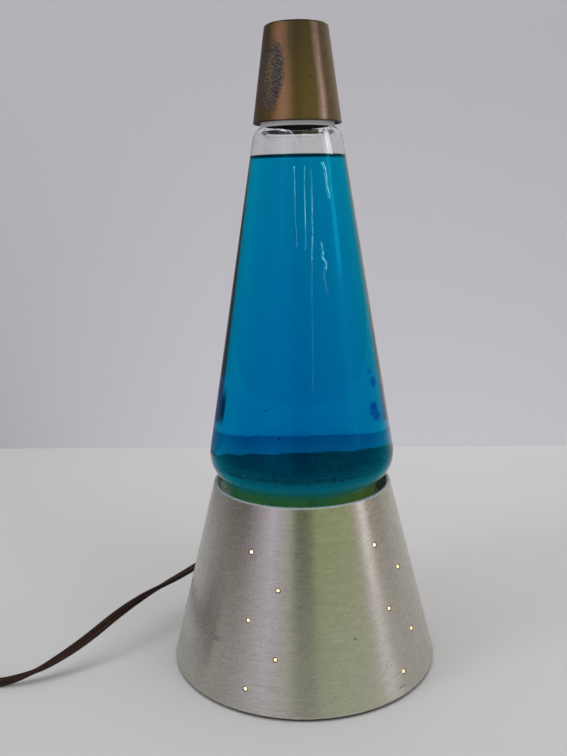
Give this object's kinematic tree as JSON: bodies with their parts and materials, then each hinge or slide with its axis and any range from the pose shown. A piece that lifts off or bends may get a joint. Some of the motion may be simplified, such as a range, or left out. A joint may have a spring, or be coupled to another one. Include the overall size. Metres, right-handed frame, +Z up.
{
  "type": "liquid motion lamp",
  "caption": "Table lamp with a tapered glass bottle of tinted liquid and wax standing over a bulb in a pierced conical metal base, with a lift-off cap and a flat lead with a switch and plug.",
  "frame": {"origin": "on the lamp's axis at the underside of the felt ring, on the surface the lamp stands on", "axes": "+Z up along the axis through the cap, -Y towards the viewer of the picture, +Y towards the back where the lead leaves, +X to the viewer's right"},
  "size_m": [0.4342, 0.2279, 0.4341],
  "materials": {
    "brushed_aluminium": "satin, brushed round the axis",
    "plain_aluminium": "plain spun aluminium",
    "black_paint": "matt black paint",
    "black_felt": "felt",
    "plated_steel": "zinc plated",
    "brass": "plain brass",
    "black_phenolic": "moulded, glossy",
    "brown_lead": "extruded sheath, satin",
    "brown_moulding": "moulded, satin",
    "black_tie": "soft plastic band",
    "frosted_glass": "frosted inside",
    "clear_glass": "clear",
    "filament_wire": "drawn wire",
    "bottle_glass": "clear blown glass",
    "blue_liquid": "clear tinted liquid",
    "dark_wax": "cold wax, rough at the top",
    "spring_wire": "drawn wire",
    "black_rubber": "matt rubber",
    "white_plastic": "satin moulding",
    "bronze_metal": "satin, aged, with a patch of corrosion"
  },
  "bodies": {
    "base": {"base_shell": "brushed_aluminium", "seat_ring": "plain_aluminium", "bottom_plate": "black_paint", "felt_ring": "black_felt", "socket_strap": "plated_steel", "threaded_tube": "brass", "lock_nut": "brass", "socket_body": "black_phenolic", "socket_screw_shell": "brass", "socket_contact": "brass", "terminals": "brass", "strain_relief": "brown_moulding", "inner_lead": "brown_lead", "cord_run": "brown_lead", "switch_lower": "brown_moulding", "switch_upper": "brown_moulding", "switch_screws": "brass", "cord_link": "brown_lead", "cord_coil": "brown_lead", "coil_ties": "black_tie", "cord_tail": "brown_lead", "plug_body": "brown_moulding", "plug_blades": "brass"},
    "switch_wheel": {"switch_wheel": "brown_moulding"},
    "bulb": {"bulb_glass": "frosted_glass", "bulb_screw_shell": "plain_aluminium", "bulb_insulator": "black_phenolic", "bulb_contact": "plated_steel", "bulb_stem": "clear_glass", "bulb_filament": "filament_wire"},
    "bottle": {"glass_bottle": "bottle_glass", "liquid": "blue_liquid", "wax": "dark_wax", "heat_coil": "spring_wire", "stopper": "black_rubber", "closure": "white_plastic"},
    "top_cap": {"top_cap": "bronze_metal"}
  },
  "joints": [
    {"name": "bottle_lift", "type": "slide", "parent": "base", "child": "bottle", "axis": [0, 0, 1], "range_m": [0, 0.15]},
    {"name": "cap_lift", "type": "slide", "parent": "bottle", "child": "top_cap", "axis": [0, 0, 1], "range_m": [0, 0.07]},
    {"name": "bulb_turn", "type": "hinge", "parent": "base", "child": "bulb", "pos_m": [0, 0, 0.03], "axis": [0, 0, 1], "range_deg": [0, 1800]},
    {"name": "switch_turn", "type": "hinge", "parent": "base", "child": "switch_wheel", "pos_m": [-0.266, -0.048, 0.0065], "axis": [0, 0, 1], "continuous": true}
  ]
}
